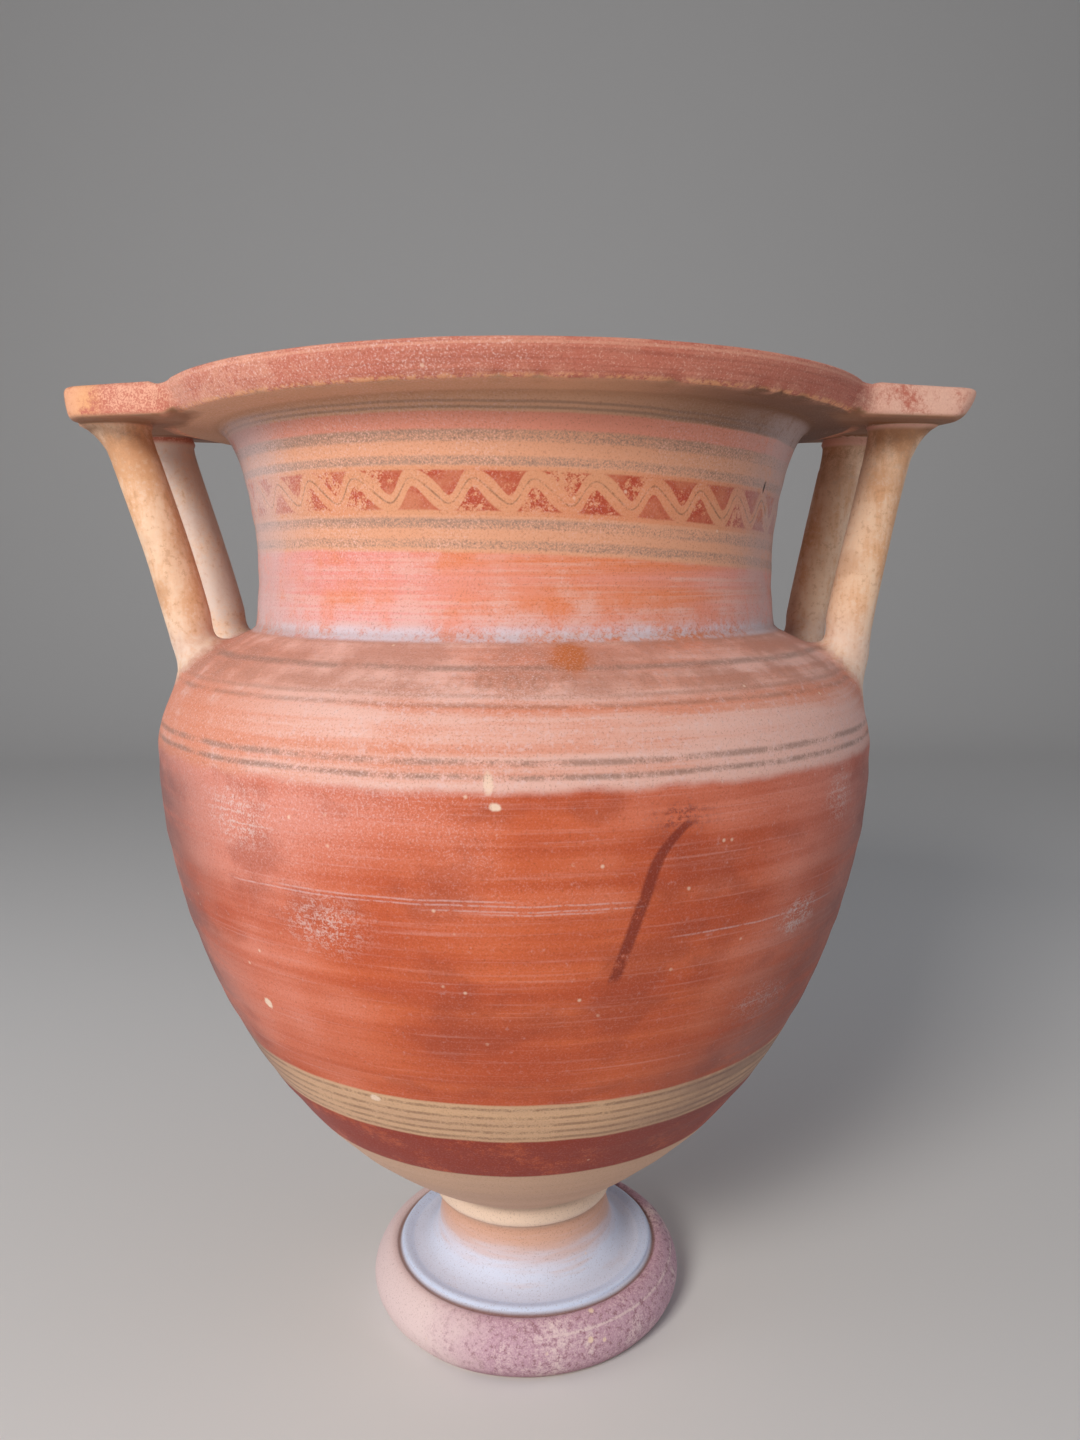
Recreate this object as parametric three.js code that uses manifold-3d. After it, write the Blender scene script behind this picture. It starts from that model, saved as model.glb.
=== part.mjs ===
// Column krater: a wheel-thrown clay mixing bowl with a wide neck and an overhanging rim, standing
// on a turned foot. Two handles, each a flat plate carried by a pair of columns, join the rim to the
// shoulder. Foot and handles were luted on before firing, so the whole vessel is one solid.
// Millimetres, +Z up, origin on the resting plane under the middle of the foot, handles along X.

import * as THREE from 'three';
import { mergeVertices } from 'three/addons/utils/BufferGeometryUtils.js';
import Module from 'manifold-3d';

// Driving dimensions
const RIM_TOP = 417.5;
const RIM_RADIUS = 150;
const RIM_LOWER_RADIUS = 146;
const RIM_THICKNESS = 12;
const RIM_EDGE = 1.5;
const RIM_TILT = THREE.MathUtils.degToRad(0.3);
const MOUTH_RADIUS = 123;
const MOUTH_EDGE = 3;
const NECK_TOP_RADIUS = 127.5;
const NECK_BASE = { r: 115.5, z: 321 };
const BELLY = { r: 156.3, z: 262.8 };
const BODY_END = { r: 41, z: 61.8 };
const WALL = 8;
const FLOOR = 63;
const FLOOR_RADIUS = 38;
const BEAD_RADIUS = 43;
const BEAD_BOTTOM = 52.5;
const STEM_RADIUS = 39.5;
const DISH = { r: 52, z: 25.6 };
const LIP = { r: 58.4, z: 27.2 };
const GROOVE = { r: 61.4, z: 23.8 };
const FOOT = { r: 74, z: 11.5 };
const FOOT_SHOULDER = { r: 64.5, z: 25.5 };
const REST_OUTER = 66;
const REST_INNER = 54;
const HOLLOW_DEPTH = 50;
const BOWL_SHIFT = -4;
const BOWL_SHIFT_FROM = 20;
const BOWL_SHIFT_TO = 95;

const PLATE_TOP = 417.8;
const PLATE_THICKNESS = 14;
const PLATE_END = 183.7;
const PLATE_END_HALF_WIDTH = 53.4;
const PLATE_TAPER = 0.27;
const PLATE_CORNER = 11;
const PLATE_EDGE = 2;
const PLATE_THINNING = 4;
const FILLET_HALF_WIDTH = 80;
const FILLET_CORNER = 16;
const FILLET_LENGTH = 36;

const COLUMN_SPREAD = 32;
const COLUMN_FOOT = 308;
const COLUMN_BOW = 0.0006;
const COLUMN_BURIED = 22;
const COLUMN_FOOT_FLARE = 2;
const COLUMN_TOP_FLARE = 2;
const COLUMN_OUTWARD_FLARE = 0.45;
const FLARE_HEIGHT = 14;

// Built by hand, the two handles differ: where their columns stand, how far they lean and how thick
const HANDLES = [
  { angle: 0, stand: 136.5, lean: 0.14, radius: 9.6 },
  { angle: Math.PI, stand: 139.2, lean: 0.222, radius: 8.8 },
];

const VESSEL_SIDES = 44;
const COLUMN_SIDES = 14;

// Points that pull the profile's curves into shape between those sizes
const PULL = {
  hollow: [{ r: 24, z: HOLLOW_DEPTH }, { r: 27, z: 16 }],
  footUnder: [{ r: 70.5, z: 0 }, { r: FOOT.r, z: 6 }],
  footOver: [{ r: FOOT.r, z: 16 }, { r: 69.5, z: 24.5 }],
  lipOver: [{ r: LIP.r + 2.2, z: LIP.z }],
  lipInner: [{ r: 55.5, z: DISH.z }],
  stem: [{ r: 44, z: 26.5 }, { r: STEM_RADIUS, z: 38 }],
  bead: [{ r: BEAD_RADIUS + 1, z: BEAD_BOTTOM }, { r: BEAD_RADIUS, z: 58 }],
  belly: [{ r: 144.8, z: 121.9 }, { r: BELLY.r, z: 238.7 }],
  shoulder: [{ r: BELLY.r, z: 291 }, { r: 155, z: 303 }],
  neck: [{ r: 108.8, z: 355 }, { r: 118.3, z: 398.1 }],
  mouth: [{ r: MOUTH_RADIUS, z: RIM_TOP }],
  innerNeck: [{ r: 110, z: 398 }, { r: 101, z: 352 }],
  innerShoulder: [{ r: 146, z: 297.5 }, { r: BELLY.r - WALL, z: 287 }],
  innerBelly: [{ r: BELLY.r - WALL, z: 238 }, { r: 137, z: 128.5 }],
  floor: [{ r: 24, z: FLOOR }],
};

const wasm = await Module();
wasm.setup();

const { smoothstep } = THREE.MathUtils;

// A turned solid from a profile of radius and height, stood upright along Z
function turned(profile, sides) {
  const geometry = new THREE.LatheGeometry(profile, sides);
  geometry.rotateX(Math.PI / 2);
  return geometry;
}

// Moves every vertex of a geometry by a rule that edits the point in place
function bend(geometry, rule) {
  const position = geometry.attributes.position;
  const point = new THREE.Vector3();
  for (let i = 0; i < position.count; i += 1) {
    point.fromBufferAttribute(position, i);
    rule(point);
    position.setXYZ(i, point.x, point.y, point.z);
  }
  return geometry;
}

function toSolid(geometry) {
  geometry.deleteAttribute('normal');
  geometry.deleteAttribute('uv');
  const merged = mergeVertices(geometry, 1e-3);
  const vertProperties = new Float32Array(merged.attributes.position.array);
  const triVerts = new Uint32Array(merged.index.array);
  return new wasm.Manifold(new wasm.Mesh({ numProp: 3, vertProperties, triVerts }));
}

function toGeometry(solid) {
  const mesh = solid.getMesh();
  const geometry = new THREE.BufferGeometry();
  geometry.setAttribute('position', new THREE.BufferAttribute(mesh.vertProperties, 3));
  geometry.setIndex(new THREE.BufferAttribute(mesh.triVerts, 1));
  geometry.computeVertexNormals();
  return geometry;
}

// Joins curves into one profile, each sampled in its own number of steps
function sampled(curves) {
  const points = [];
  for (const [curve, steps] of curves) {
    const stretch = curve.getPoints(steps);
    points.push(...(points.length ? stretch.slice(1) : stretch));
  }
  return points;
}

const at = ({ r, z }) => new THREE.Vector2(r, z);
const straight = (start, end) => new THREE.LineCurve(at(start), at(end));

// A curve from start to end, pulled towards one or two points on its way
function bow(start, pulls, end) {
  const points = [start, ...pulls, end].map(at);
  const Curve = pulls.length === 1 ? THREE.QuadraticBezierCurve : THREE.CubicBezierCurve;
  return new Curve(...points);
}

// Foot: hollow underside, flat resting ring, fat round edge, groove, raised lip, dish and stem
function footCurves() {
  const crown = { r: 0, z: HOLLOW_DEPTH };
  const rest = { r: REST_INNER, z: 0 };
  const restEdge = { r: REST_OUTER, z: 0 };
  const stem = { r: STEM_RADIUS, z: BEAD_BOTTOM };
  return [
    [bow(crown, PULL.hollow, rest), 4],
    [straight(rest, restEdge), 1],
    [bow(restEdge, PULL.footUnder, FOOT), 3],
    [bow(FOOT, PULL.footOver, FOOT_SHOULDER), 4],
    [straight(FOOT_SHOULDER, GROOVE), 1],
    [bow(GROOVE, PULL.lipOver, LIP), 2],
    [bow(LIP, PULL.lipInner, DISH), 2],
    [bow(DISH, PULL.stem, stem), 5],
    [bow(stem, PULL.bead, BODY_END), 3],
  ];
}

const MOUTH = { r: MOUTH_RADIUS + MOUTH_EDGE, z: RIM_TOP };

// Outside of the bowl: swelling belly, rounded shoulder, flaring neck and the heavy rim
function outsideCurves() {
  const rimBottom = RIM_TOP - RIM_THICKNESS;
  const neckTop = { r: NECK_TOP_RADIUS, z: rimBottom - RIM_EDGE };
  const rimUnder = { r: RIM_LOWER_RADIUS - RIM_EDGE, z: rimBottom - RIM_EDGE / 2 };
  const rimLower = { r: RIM_LOWER_RADIUS, z: rimBottom + RIM_EDGE / 2 };
  const rimUpper = { r: RIM_RADIUS, z: RIM_TOP - RIM_EDGE };
  const rimTop = { r: RIM_RADIUS - RIM_EDGE, z: RIM_TOP };
  return [
    [bow(BODY_END, PULL.belly, BELLY), 13],
    [bow(BELLY, PULL.shoulder, NECK_BASE), 7],
    [bow(NECK_BASE, PULL.neck, neckTop), 7],
    [straight(neckTop, rimUnder), 1],
    [straight(rimUnder, rimLower), 1],
    [straight(rimLower, rimUpper), 1],
    [straight(rimUpper, rimTop), 1],
    [straight(rimTop, MOUTH), 1],
  ];
}

// Inside of the bowl, one wall thickness within the outside, down to a rounded floor
function insideCurves() {
  const throat = { r: MOUTH_RADIUS, z: RIM_TOP - MOUTH_EDGE };
  const neckBase = { r: NECK_BASE.r - WALL, z: NECK_BASE.z - WALL / 2 };
  const belly = { r: BELLY.r - WALL, z: BELLY.z };
  const floorEdge = { r: FLOOR_RADIUS, z: FLOOR + WALL };
  const floor = { r: 0, z: FLOOR };
  return [
    [bow(MOUTH, PULL.mouth, throat), 2],
    [bow(throat, PULL.innerNeck, neckBase), 4],
    [bow(neckBase, PULL.innerShoulder, belly), 4],
    [bow(belly, PULL.innerBelly, floorEdge), 7],
    [bow(floorEdge, PULL.floor, floor), 3],
  ];
}

// The rim, and the plates that lie in its plane, dip a little to one side
function dip(geometry) {
  const from = RIM_TOP - 3 * RIM_THICKNESS;
  const full = RIM_TOP - RIM_THICKNESS;
  return bend(geometry, (point) => {
    point.z += Math.tan(RIM_TILT) * point.x * smoothstep(point.z, from, full);
  });
}

// The bowl sits a little off the middle of its foot
function vessel() {
  const profile = sampled([...footCurves(), ...outsideCurves(), ...insideCurves()]);
  const geometry = bend(turned(profile, VESSEL_SIDES), (point) => {
    point.x += BOWL_SHIFT * smoothstep(point.z, BOWL_SHIFT_FROM, BOWL_SHIFT_TO);
  });
  return dip(geometry);
}

// Flat handle plate in the plane of the rim, flowing out of it and narrowing to rounded corners;
// it thins towards the back of the vessel, given as +1 or -1 along Y
function plate(rimCentre, back) {
  const inset = PLATE_EDGE;
  const end = PLATE_END - inset;
  const halfWidth = (x) => PLATE_END_HALF_WIDTH - inset + PLATE_TAPER * (PLATE_END - x);
  const rimInside = RIM_RADIUS - RIM_THICKNESS;
  const rootAngle = Math.asin(FILLET_HALF_WIDTH / rimInside);
  const root = rimCentre + rimInside * Math.cos(rootAngle);
  const corner = root + FILLET_CORNER;
  const side = root + FILLET_LENGTH;
  const outline = new THREE.Shape();
  outline.moveTo(root, -FILLET_HALF_WIDTH);
  outline.quadraticCurveTo(corner, -halfWidth(corner), side, -halfWidth(side));
  outline.lineTo(end - PLATE_CORNER, -halfWidth(end - PLATE_CORNER));
  outline.quadraticCurveTo(end, -halfWidth(end), end, PLATE_CORNER - halfWidth(end));
  outline.lineTo(end, halfWidth(end) - PLATE_CORNER);
  outline.quadraticCurveTo(end, halfWidth(end), end - PLATE_CORNER, halfWidth(end - PLATE_CORNER));
  outline.lineTo(side, halfWidth(side));
  outline.quadraticCurveTo(corner, halfWidth(corner), root, FILLET_HALF_WIDTH);
  outline.absarc(rimCentre, 0, rimInside, rootAngle, -rootAngle, true);
  const geometry = new THREE.ExtrudeGeometry(outline, {
    depth: PLATE_THICKNESS - 2 * inset,
    bevelThickness: inset,
    bevelSize: inset,
    bevelSegments: 2,
    curveSegments: 4,
  });
  geometry.translate(0, 0, PLATE_TOP - PLATE_THICKNESS + inset);
  return bend(geometry, (point) => {
    const depth = (PLATE_TOP - point.z) / PLATE_THICKNESS;
    point.z += depth * PLATE_THINNING * smoothstep(point.y * back, -FILLET_HALF_WIDTH, FILLET_HALF_WIDTH);
  });
}

// Column of a handle: leans outwards from the shoulder and spreads into the plate above it
function column({ stand, lean, radius }, side) {
  const plateBottom = PLATE_TOP - PLATE_THICKNESS;
  const bottom = COLUMN_FOOT - COLUMN_BURIED;
  const top = plateBottom + PLATE_THICKNESS / 3;
  const topFlareStart = plateBottom - FLARE_HEIGHT;
  const base = radius + COLUMN_FOOT_FLARE;
  const head = radius + COLUMN_TOP_FLARE;
  const baseEdge = { r: base, z: bottom };
  const shaftStart = { r: radius, z: COLUMN_FOOT + FLARE_HEIGHT };
  const shaftEnd = { r: radius, z: topFlareStart };
  const headStart = { r: head, z: plateBottom };
  const headEnd = { r: head, z: top };
  const profile = sampled([
    [straight({ r: 0, z: bottom }, baseEdge), 1],
    [bow(baseEdge, [{ r: base, z: COLUMN_FOOT }, { r: radius, z: COLUMN_FOOT }], shaftStart), 4],
    [straight(shaftStart, shaftEnd), 3],
    [bow(shaftEnd, [{ r: radius, z: plateBottom }], headStart), 4],
    [straight(headStart, headEnd), 1],
    [straight(headEnd, { r: 0, z: top }), 1],
  ]);
  return bend(turned(profile, COLUMN_SIDES), (point) => {
    const climb = point.z - COLUMN_FOOT;
    const spread = THREE.MathUtils.clamp((point.z - topFlareStart) / FLARE_HEIGHT, 0, 1) ** 2;
    const outward = point.x > 0 ? 1 + COLUMN_OUTWARD_FLARE * spread : 1;
    point.x = stand + lean * climb + COLUMN_BOW * climb ** 2 + point.x * outward;
    point.y += side * COLUMN_SPREAD;
  });
}

// One handle, its plate and two columns, turned to its side of the vessel
function handle(shape) {
  const facing = Math.cos(shape.angle);
  let solid = toSolid(dip(plate(BOWL_SHIFT * facing, facing).rotateZ(shape.angle)));
  for (const side of [-1, 1]) {
    solid = solid.add(toSolid(dip(column(shape, side).rotateZ(shape.angle))));
  }
  return solid;
}

function krater() {
  let solid = toSolid(vessel());
  for (const shape of HANDLES) {
    solid = solid.add(handle(shape));
  }
  return toGeometry(solid);
}

const clay = new THREE.MeshStandardMaterial({ color: 0xb4613f, roughness: 0.82, metalness: 0 });
const body = new THREE.Mesh(krater(), clay);
body.name = 'krater';

const vase = new THREE.Group();
vase.add(body);

export default vase;
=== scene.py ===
"""Looks of the column krater: worn red and grey paint on pale orange clay, wheel marks, chips and chalky
incrustation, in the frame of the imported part. Lengths are millimetres unless a name says otherwise."""

import math

import bpy
import numpy as np
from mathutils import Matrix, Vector, noise
from mathutils.bvhtree import BVHTree


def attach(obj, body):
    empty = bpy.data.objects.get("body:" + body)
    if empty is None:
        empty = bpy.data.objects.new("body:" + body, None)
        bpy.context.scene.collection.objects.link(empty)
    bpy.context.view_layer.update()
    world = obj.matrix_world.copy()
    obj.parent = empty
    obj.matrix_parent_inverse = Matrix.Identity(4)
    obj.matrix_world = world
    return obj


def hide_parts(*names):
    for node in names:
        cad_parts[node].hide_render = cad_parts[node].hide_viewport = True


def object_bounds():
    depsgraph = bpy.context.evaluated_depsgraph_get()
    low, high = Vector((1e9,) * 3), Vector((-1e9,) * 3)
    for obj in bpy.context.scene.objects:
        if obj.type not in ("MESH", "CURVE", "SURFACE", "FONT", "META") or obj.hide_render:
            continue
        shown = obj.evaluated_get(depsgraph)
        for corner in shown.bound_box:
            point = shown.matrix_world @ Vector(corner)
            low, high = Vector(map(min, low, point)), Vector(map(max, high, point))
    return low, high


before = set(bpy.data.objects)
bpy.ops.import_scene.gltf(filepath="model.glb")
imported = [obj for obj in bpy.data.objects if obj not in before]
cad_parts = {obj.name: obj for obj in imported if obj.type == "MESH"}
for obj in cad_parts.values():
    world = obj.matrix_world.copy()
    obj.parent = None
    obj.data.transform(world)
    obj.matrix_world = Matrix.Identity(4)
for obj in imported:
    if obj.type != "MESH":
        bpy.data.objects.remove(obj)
cad_low, cad_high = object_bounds()

MM = 0.001
TURN = 2 * math.pi
DEGREES = 180 / math.pi

# Vessel
RIM_TILT = math.radians(0.3)
RIM_TILT_FROM, RIM_TILT_FULL = 381.5, 405.5
BOWL_SHIFT = -4.0
BOWL_SHIFT_FROM, BOWL_SHIFT_TO = 20.0, 95.0
VESSEL_SIDES = 208
PROFILE_STEP = 0.25
CORNER_SOFTNESS = 0.8

# Throwing rings as (depth, length, shift), the wall they run on and its slight ovalness
WHEEL_RINGS = [(0.10, 2.9, 0.7), (0.08, 1.9, 2.1), (0.09, 5.3, 0.3)]
WHEEL_SWAY = 0.5
WALL_BOTTOM, WALL_TOP = 66.0, 403.0
RINGS_FADE_IN, RINGS_FULL = 45.0, 70.0
OVAL_DEPTH, OVAL_TURN = 0.25, 0.6
OVAL_FROM, OVAL_FULL = 90.0, 200.0
FOOT_TOP, FOOT_RING_FROM = 30.0, 60.0
FOOT_OVAL_DEPTH, FOOT_OVAL_TURN = 0.3, 0.4

# Chips out of the lower edge of the rim: angle from the front and half width in degrees, depth
RIM_CHIPS = [
    (-46, 0.9, 0.5), (-38.5, 1.5, 0.7), (-29, 0.8, 0.4), (-18, 1.1, 0.5), (-3.5, 1.3, 0.8), (1.5, 0.8, 0.6),
    (12, 1.6, 0.4), (19.5, 1.0, 0.7), (34, 1.8, 0.8), (38.5, 0.9, 0.9), (44, 1.3, 0.7), (112, 2.0, 0.7),
    (161, 1.5, 0.8), (-131, 1.8, 0.7),
]
RIM_RAGGED = 0.22
RIM_FACE_BOTTOM, RIM_FACE_INNER = 403.5, 138.0
CHIP_LEVEL, CHIP_SPREAD, CHIP_LIFT = 405.6, 2.4, 0.5
GROOVE_LEVEL, GROOVE_SPREAD, GROOVE_DEPTH = 415.2, 0.7, 0.55

# Handles
PLATE_TOP = 417.6
PLATE_THICKNESS = 13.8
PLATE_END = 183.6
PLATE_END_HALF_WIDTH = 53.4
PLATE_TAPER = 0.27
PLATE_CORNER = 11.0
PLATE_EDGE = 3.0
PLATE_STEP = 2.6
PLATE_MIDDLE_OUTWARD = 12.0
PLATE_RINGS = (0.25, 0.5, 0.75, 0.9)
PLATE_THINNING = 4.0
ROOT_HALF_WIDTH = 72.5
THINNING_HALF_WIDTH = 80.0
END_SLOPE_LENGTH = 16.0
PLATE_ROOT_RADIUS = 138.0
COLUMN_SPREAD = 32.0
COLUMN_FOOT = 308.0
COLUMN_BOW = 0.0006
COLUMN_BURIED = 22.0
COLUMN_FOOT_FLARE = 2.0
COLUMN_TOP_FLARE = 2.0
COLUMN_OUTWARD_FLARE = 0.45
FLARE_HEIGHT = 14.0
COLUMN_SIDES = 36
COLUMN_STEP = 2.2
PLAIN_FOOT_RINGS, PLAIN_HEAD_RINGS = 6, 8
HANDLES = [
    {"angle": 0.0, "stand": 136.0, "lean": 0.14, "radius": 10.3, "end_slope": 7.0},
    {"angle": math.pi, "stand": 138.0, "lean": 0.222, "radius": 10.1, "end_slope": 2.0},
]

# Profile of the vessel as curves of (radius, height), each with the step its rings are cut at
PROFILE = [
    ([(0, 50), (24, 50), (27, 16), (54, 0)], 6.0),
    ([(54, 0), (66, 0)], 3.0),
    ([(66, 0), (70.5, 0), (74, 6), (74, 11.5)], 1.6),
    ([(74, 11.5), (74, 16), (69.5, 24.5), (64.5, 25.5)], 1.6),
    ([(64.5, 25.5), (61.4, 23.8)], 0.9),
    ([(61.4, 23.8), (60.6, 27.2), (58.4, 27.2)], 0.9),
    ([(58.4, 27.2), (55.5, 25.6), (52, 25.6)], 1.1),
    ([(52, 25.6), (44, 26.5), (39.5, 38), (39.5, 52.5)], 2.0),
    ([(39.5, 52.5), (44, 52.5), (43, 58), (41, 61.8)], 1.0),
    ([(41, 61.8), (144.8, 121.9), (156.3, 238.7), (156.3, 262.8)], 3.2),
    ([(156.3, 262.8), (156.3, 291), (155, 303), (115.5, 321)], 2.6),
    ([(115.5, 321), (108.8, 355), (118.3, 398.1), (127.5, 404)], 2.6),
    ([(127.5, 404), (144.5, 404.75)], 1.5),
    ([(144.5, 404.75), (146, 406.25)], 0.7),
    ([(146, 406.25), (150, 416)], 0.8),
    ([(150, 416), (148.5, 417.5)], 0.6),
    ([(148.5, 417.5), (126, 417.5)], 2.5),
    ([(126, 417.5), (123, 417.5), (123, 414.5)], 1.0),
    ([(123, 414.5), (110, 398), (101, 352), (107.5, 317)], 5.0),
    ([(107.5, 317), (146, 297.5), (148.3, 287), (148.3, 262.8)], 5.0),
    ([(148.3, 262.8), (148.3, 238), (137, 128.5), (38, 71)], 8.0),
    ([(38, 71), (24, 63), (0, 63)], 6.0),
]
INSIDE_FROM_CURVE = 17
INSIDE_FLOOR, INSIDE_MARGIN = 62.5, 2.5

# Soft joins of the handles and the uneven skin
FILLET_REACH = 14.0
CREASE_REACH = 4.5
FILLET_BELOW = 350.0
FILLET_PASSES = 60
HANDLE_BLEND = 0.2
SKIN_DEPTH, SKIN_SCALE = 0.16, 42.0
HANDLE_DEPTH, HANDLE_SCALE = 0.35, 26.0
HANDLE_NOISE_SHIFT = Vector((7, 3, 1))
SHARP_FULL = 0.25
UNDER_FROM, UNDER_FULL = 0.45, 0.75


def smoothstep(x, low, high):
    t = np.clip((x - low) / (high - low), 0, 1)
    return t * t * (3 - 2 * t)


def bezier(points, t):
    points = [np.array(p, float) for p in points]
    while len(points) > 1:
        points = [a + (b - a) * t[:, None] for a, b in zip(points[:-1], points[1:])]
    return points[0]


def even(path, step):
    """A path cut again into equal steps, ends kept."""
    run = np.concatenate([[0], np.cumsum(np.linalg.norm(np.diff(path, axis=0), axis=1))])
    count = max(2, int(round(run[-1] / step)) + 1)
    at = np.linspace(0, run[-1], count)
    return np.stack([np.interp(at, run, path[:, k]) for k in range(path.shape[1])], 1)


def profile():
    """Rings of the vessel from under the foot to the floor inside, and the ring where the inside begins."""
    fine, step_at, curve_at = [], [], []
    for index, (points, step) in enumerate(PROFILE):
        path = even(bezier(points, np.linspace(0, 1, 400)), PROFILE_STEP)
        path = path if not fine else path[1:]
        fine.append(path)
        step_at += [step] * len(path)
        curve_at += [index] * len(path)
    path = np.concatenate(fine)
    reach = int(4 * CORNER_SOFTNESS / PROFILE_STEP)
    weights = np.exp(-0.5 * (np.arange(-reach, reach + 1) * PROFILE_STEP / CORNER_SOFTNESS) ** 2)
    weights /= weights.sum()
    padded = np.concatenate([np.repeat(path[:1], reach, 0), path, np.repeat(path[-1:], reach, 0)])
    soft = np.stack([np.convolve(padded[:, k], weights, "valid") for k in range(2)], 1)
    soft[0], soft[-1] = path[0], path[-1]
    soft[:, 1] = np.maximum(soft[:, 1], 0)
    kept, due = [0], 0.0
    for i in range(1, len(soft)):
        due += np.linalg.norm(soft[i] - soft[i - 1])
        if due >= step_at[i] or i == len(soft) - 1:
            kept.append(i)
            due = 0.0
    return soft[kept], next(k for k, i in enumerate(kept) if curve_at[i] >= INSIDE_FROM_CURVE)


def mesh_object(name, verts, faces):
    mesh = bpy.data.meshes.new(name)
    mesh.from_pydata([tuple(v) for v in np.asarray(verts) * MM], [], faces)
    mesh.validate()
    piece = bpy.data.objects.new(name, mesh)
    bpy.context.scene.collection.objects.link(piece)
    return piece


def lofted(rings, start=None, end=None):
    """Closed skin over rings of equal count, with a single point or a flat cap at each end."""
    count, sides = len(rings), len(rings[0])
    verts = [p for ring in rings for p in ring]
    faces = []
    for i in range(count - 1):
        for j in range(sides):
            k = (j + 1) % sides
            faces.append((i * sides + j, i * sides + k, (i + 1) * sides + k, (i + 1) * sides + j))
    last = (count - 1) * sides
    if start is None:
        faces.append(tuple(range(sides - 1, -1, -1)))
    else:
        verts.append(start)
        faces += [(len(verts) - 1, (j + 1) % sides, j) for j in range(sides)]
    if end is None:
        faces.append(tuple(range(last, last + sides)))
    else:
        verts.append(end)
        faces += [(len(verts) - 1, last + j, last + (j + 1) % sides) for j in range(sides)]
    return np.array(verts), faces


def dip(p):
    """Points with the rim's slight tilt to the left."""
    p = p.copy()
    p[:, 2] += math.tan(RIM_TILT) * p[:, 0] * smoothstep(p[:, 2], RIM_TILT_FROM, RIM_TILT_FULL)
    return p


def bump(angle, centre, half_width):
    gap = (angle - math.radians(centre) + math.pi) % TURN - math.pi
    return np.clip(1 - (gap / math.radians(half_width)) ** 2, 0, 1) ** 0.7


def wheel_marks(height):
    """Shallow throwing rings on the outside, never standing out from the drawn profile."""
    return sum(depth * (np.sin(height / length + shift) - 1) for depth, length, shift in WHEEL_RINGS)


def vessel():
    rings, inside_from = profile()
    angle = np.linspace(0, TURN, VESSEL_SIDES, endpoint=False)
    levels = []
    for index, (radius, height) in enumerate(rings[1:-1], start=1):
        r = np.full(VESSEL_SIDES, radius)
        z = np.full(VESSEL_SIDES, height)
        if index < inside_from and WALL_BOTTOM < height < WALL_TOP:
            marks = wheel_marks(height + WHEEL_SWAY * np.sin(angle))
            r = r + marks * smoothstep(radius, RINGS_FADE_IN, RINGS_FULL)
            oval = OVAL_DEPTH * (1 - np.cos(2 * angle + OVAL_TURN))
            r = r - oval * smoothstep(height, OVAL_FROM, OVAL_FULL)
        if index < inside_from and height > RIM_FACE_BOTTOM and radius > RIM_FACE_INNER:
            low = np.exp(-(((height - CHIP_LEVEL) / CHIP_SPREAD) ** 2))
            chips = sum(depth * bump(angle, at, half) for at, half, depth in RIM_CHIPS)
            r = r - low * (chips + RIM_RAGGED * (1 + np.sin(61 * angle) * np.sin(17 * angle + 1)))
            z = z + CHIP_LIFT * low * chips
            r = r - GROOVE_DEPTH * math.exp(-(((height - GROOVE_LEVEL) / GROOVE_SPREAD) ** 2))
        if height < FOOT_TOP and radius > FOOT_RING_FROM:
            r = r - FOOT_OVAL_DEPTH * (1 - np.cos(3 * angle + FOOT_OVAL_TURN))
        levels.append(np.stack([r * np.sin(angle), -r * np.cos(angle), z], 1))
    first, last = np.array([0, 0, rings[0, 1]]), np.array([0, 0, rings[-1, 1]])
    verts, faces = lofted(levels, first, last)
    verts[:, 0] += BOWL_SHIFT * smoothstep(verts[:, 2], BOWL_SHIFT_FROM, BOWL_SHIFT_TO)
    return mesh_object("krater_looks", dip(verts), faces), rings, inside_from


def turned_about_z(p, angle):
    c, s = math.cos(angle), math.sin(angle)
    return np.stack([p[:, 0] * c - p[:, 1] * s, p[:, 0] * s + p[:, 1] * c, p[:, 2]], 1)


def quadratic(a, b, c, steps):
    return bezier([a, b, c], np.linspace(0, 1, steps))


def plate_outline(centre, root, root_angle):
    """Outline of a handle's plate, seen from above: straight tapering sides, round corners, hollow root."""

    def half_width(x):
        return PLATE_END_HALF_WIDTH + PLATE_TAPER * (PLATE_END - x)

    end, turn = PLATE_END, PLATE_END - PLATE_CORNER
    end_side = half_width(end)
    near = np.concatenate([
        np.linspace((root, -ROOT_HALF_WIDTH), (turn, -half_width(turn)), 20),
        quadratic((turn, -half_width(turn)), (end, -end_side), (end, PLATE_CORNER - end_side), 12),
        np.linspace((end, PLATE_CORNER - end_side), (end, 0), 20),
    ])
    far = near[::-1] * np.array([1, -1])
    arc = np.linspace(root_angle, -root_angle, 30)
    back = np.stack([centre + PLATE_ROOT_RADIUS * np.cos(arc), PLATE_ROOT_RADIUS * np.sin(arc)], 1)
    outline = np.concatenate([near, far, back])
    return even(np.concatenate([outline, outline[:1]]), PLATE_STEP)[:-1]


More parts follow.
